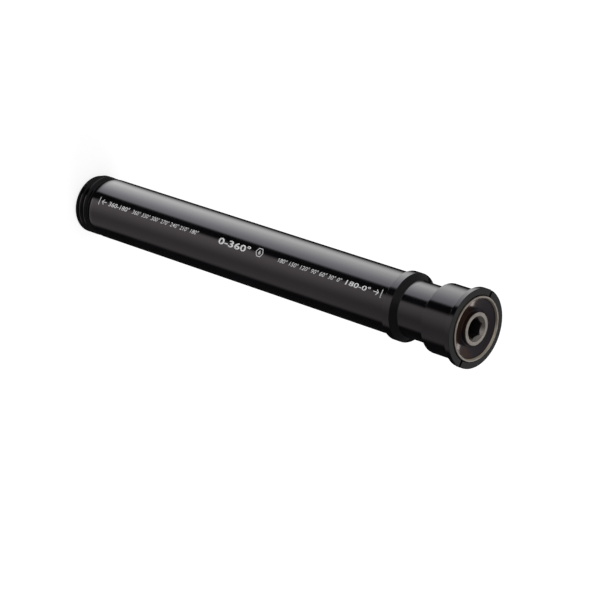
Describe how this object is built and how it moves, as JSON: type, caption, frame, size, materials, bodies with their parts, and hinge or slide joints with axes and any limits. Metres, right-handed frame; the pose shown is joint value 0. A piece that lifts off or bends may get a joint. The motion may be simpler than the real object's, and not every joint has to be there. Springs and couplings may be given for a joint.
{
  "type": "bicycle thru axle",
  "caption": "Hollow bicycle thru axle with a threaded end, a collar, and a flanged split head that a hex-driven wedge expands.",
  "frame": {"origin": "centre of the threaded end's face, which the axle stands on", "axes": "+Z along the axle from the threaded end to the flange; the head's slit lies in the XZ plane; the printed marks face -Y"},
  "size_m": [0.025, 0.025, 0.1689],
  "materials": {
    "anodised_body": "gloss black anodised",
    "wedge_metal": "bronze anodised with a bare turned lip",
    "rod_steel": "turned, dark oxide",
    "spring_steel": "ground bright",
    "ring_steel": "phosphated dark",
    "washer_bronze": "turned bronze",
    "seal_rubber": "matte"
  },
  "bodies": {
    "axle": {"axle_body": "anodised_body", "thrust_washer": "washer_bronze", "click_ring": "ring_steel", "retaining_ring": "ring_steel"},
    "rod": {"draw_rod": "rod_steel", "rod_seal": "seal_rubber", "click_spring": "spring_steel"},
    "wedge": {"expander_wedge": "wedge_metal", "drive_key_a": "spring_steel", "drive_key_b": "spring_steel"},
    "ball_a": {"click_ball_a": "spring_steel"},
    "ball_b": {"click_ball_b": "spring_steel"}
  },
  "joints": [
    {"name": "rod_turn", "type": "hinge", "parent": "axle", "child": "rod", "pos_m": [0, 0, 0], "axis": [0, 0, 1], "range_deg": [0, 360]},
    {"name": "wedge_slide", "type": "slide", "parent": "axle", "child": "wedge", "axis": [0, 0, -1], "range_m": [0, 0.001]},
    {"name": "ball_a_slide", "type": "slide", "parent": "rod", "child": "ball_a", "axis": [1, 0, 0], "range_m": [0, 0.0003]},
    {"name": "ball_b_slide", "type": "slide", "parent": "rod", "child": "ball_b", "axis": [-1, 0, 0], "range_m": [0, 0.0003]}
  ],
  "couplings": [
    {"joint": "wedge_slide", "follows": "rod_turn", "m_per_rad": 0.00015915}
  ]
}
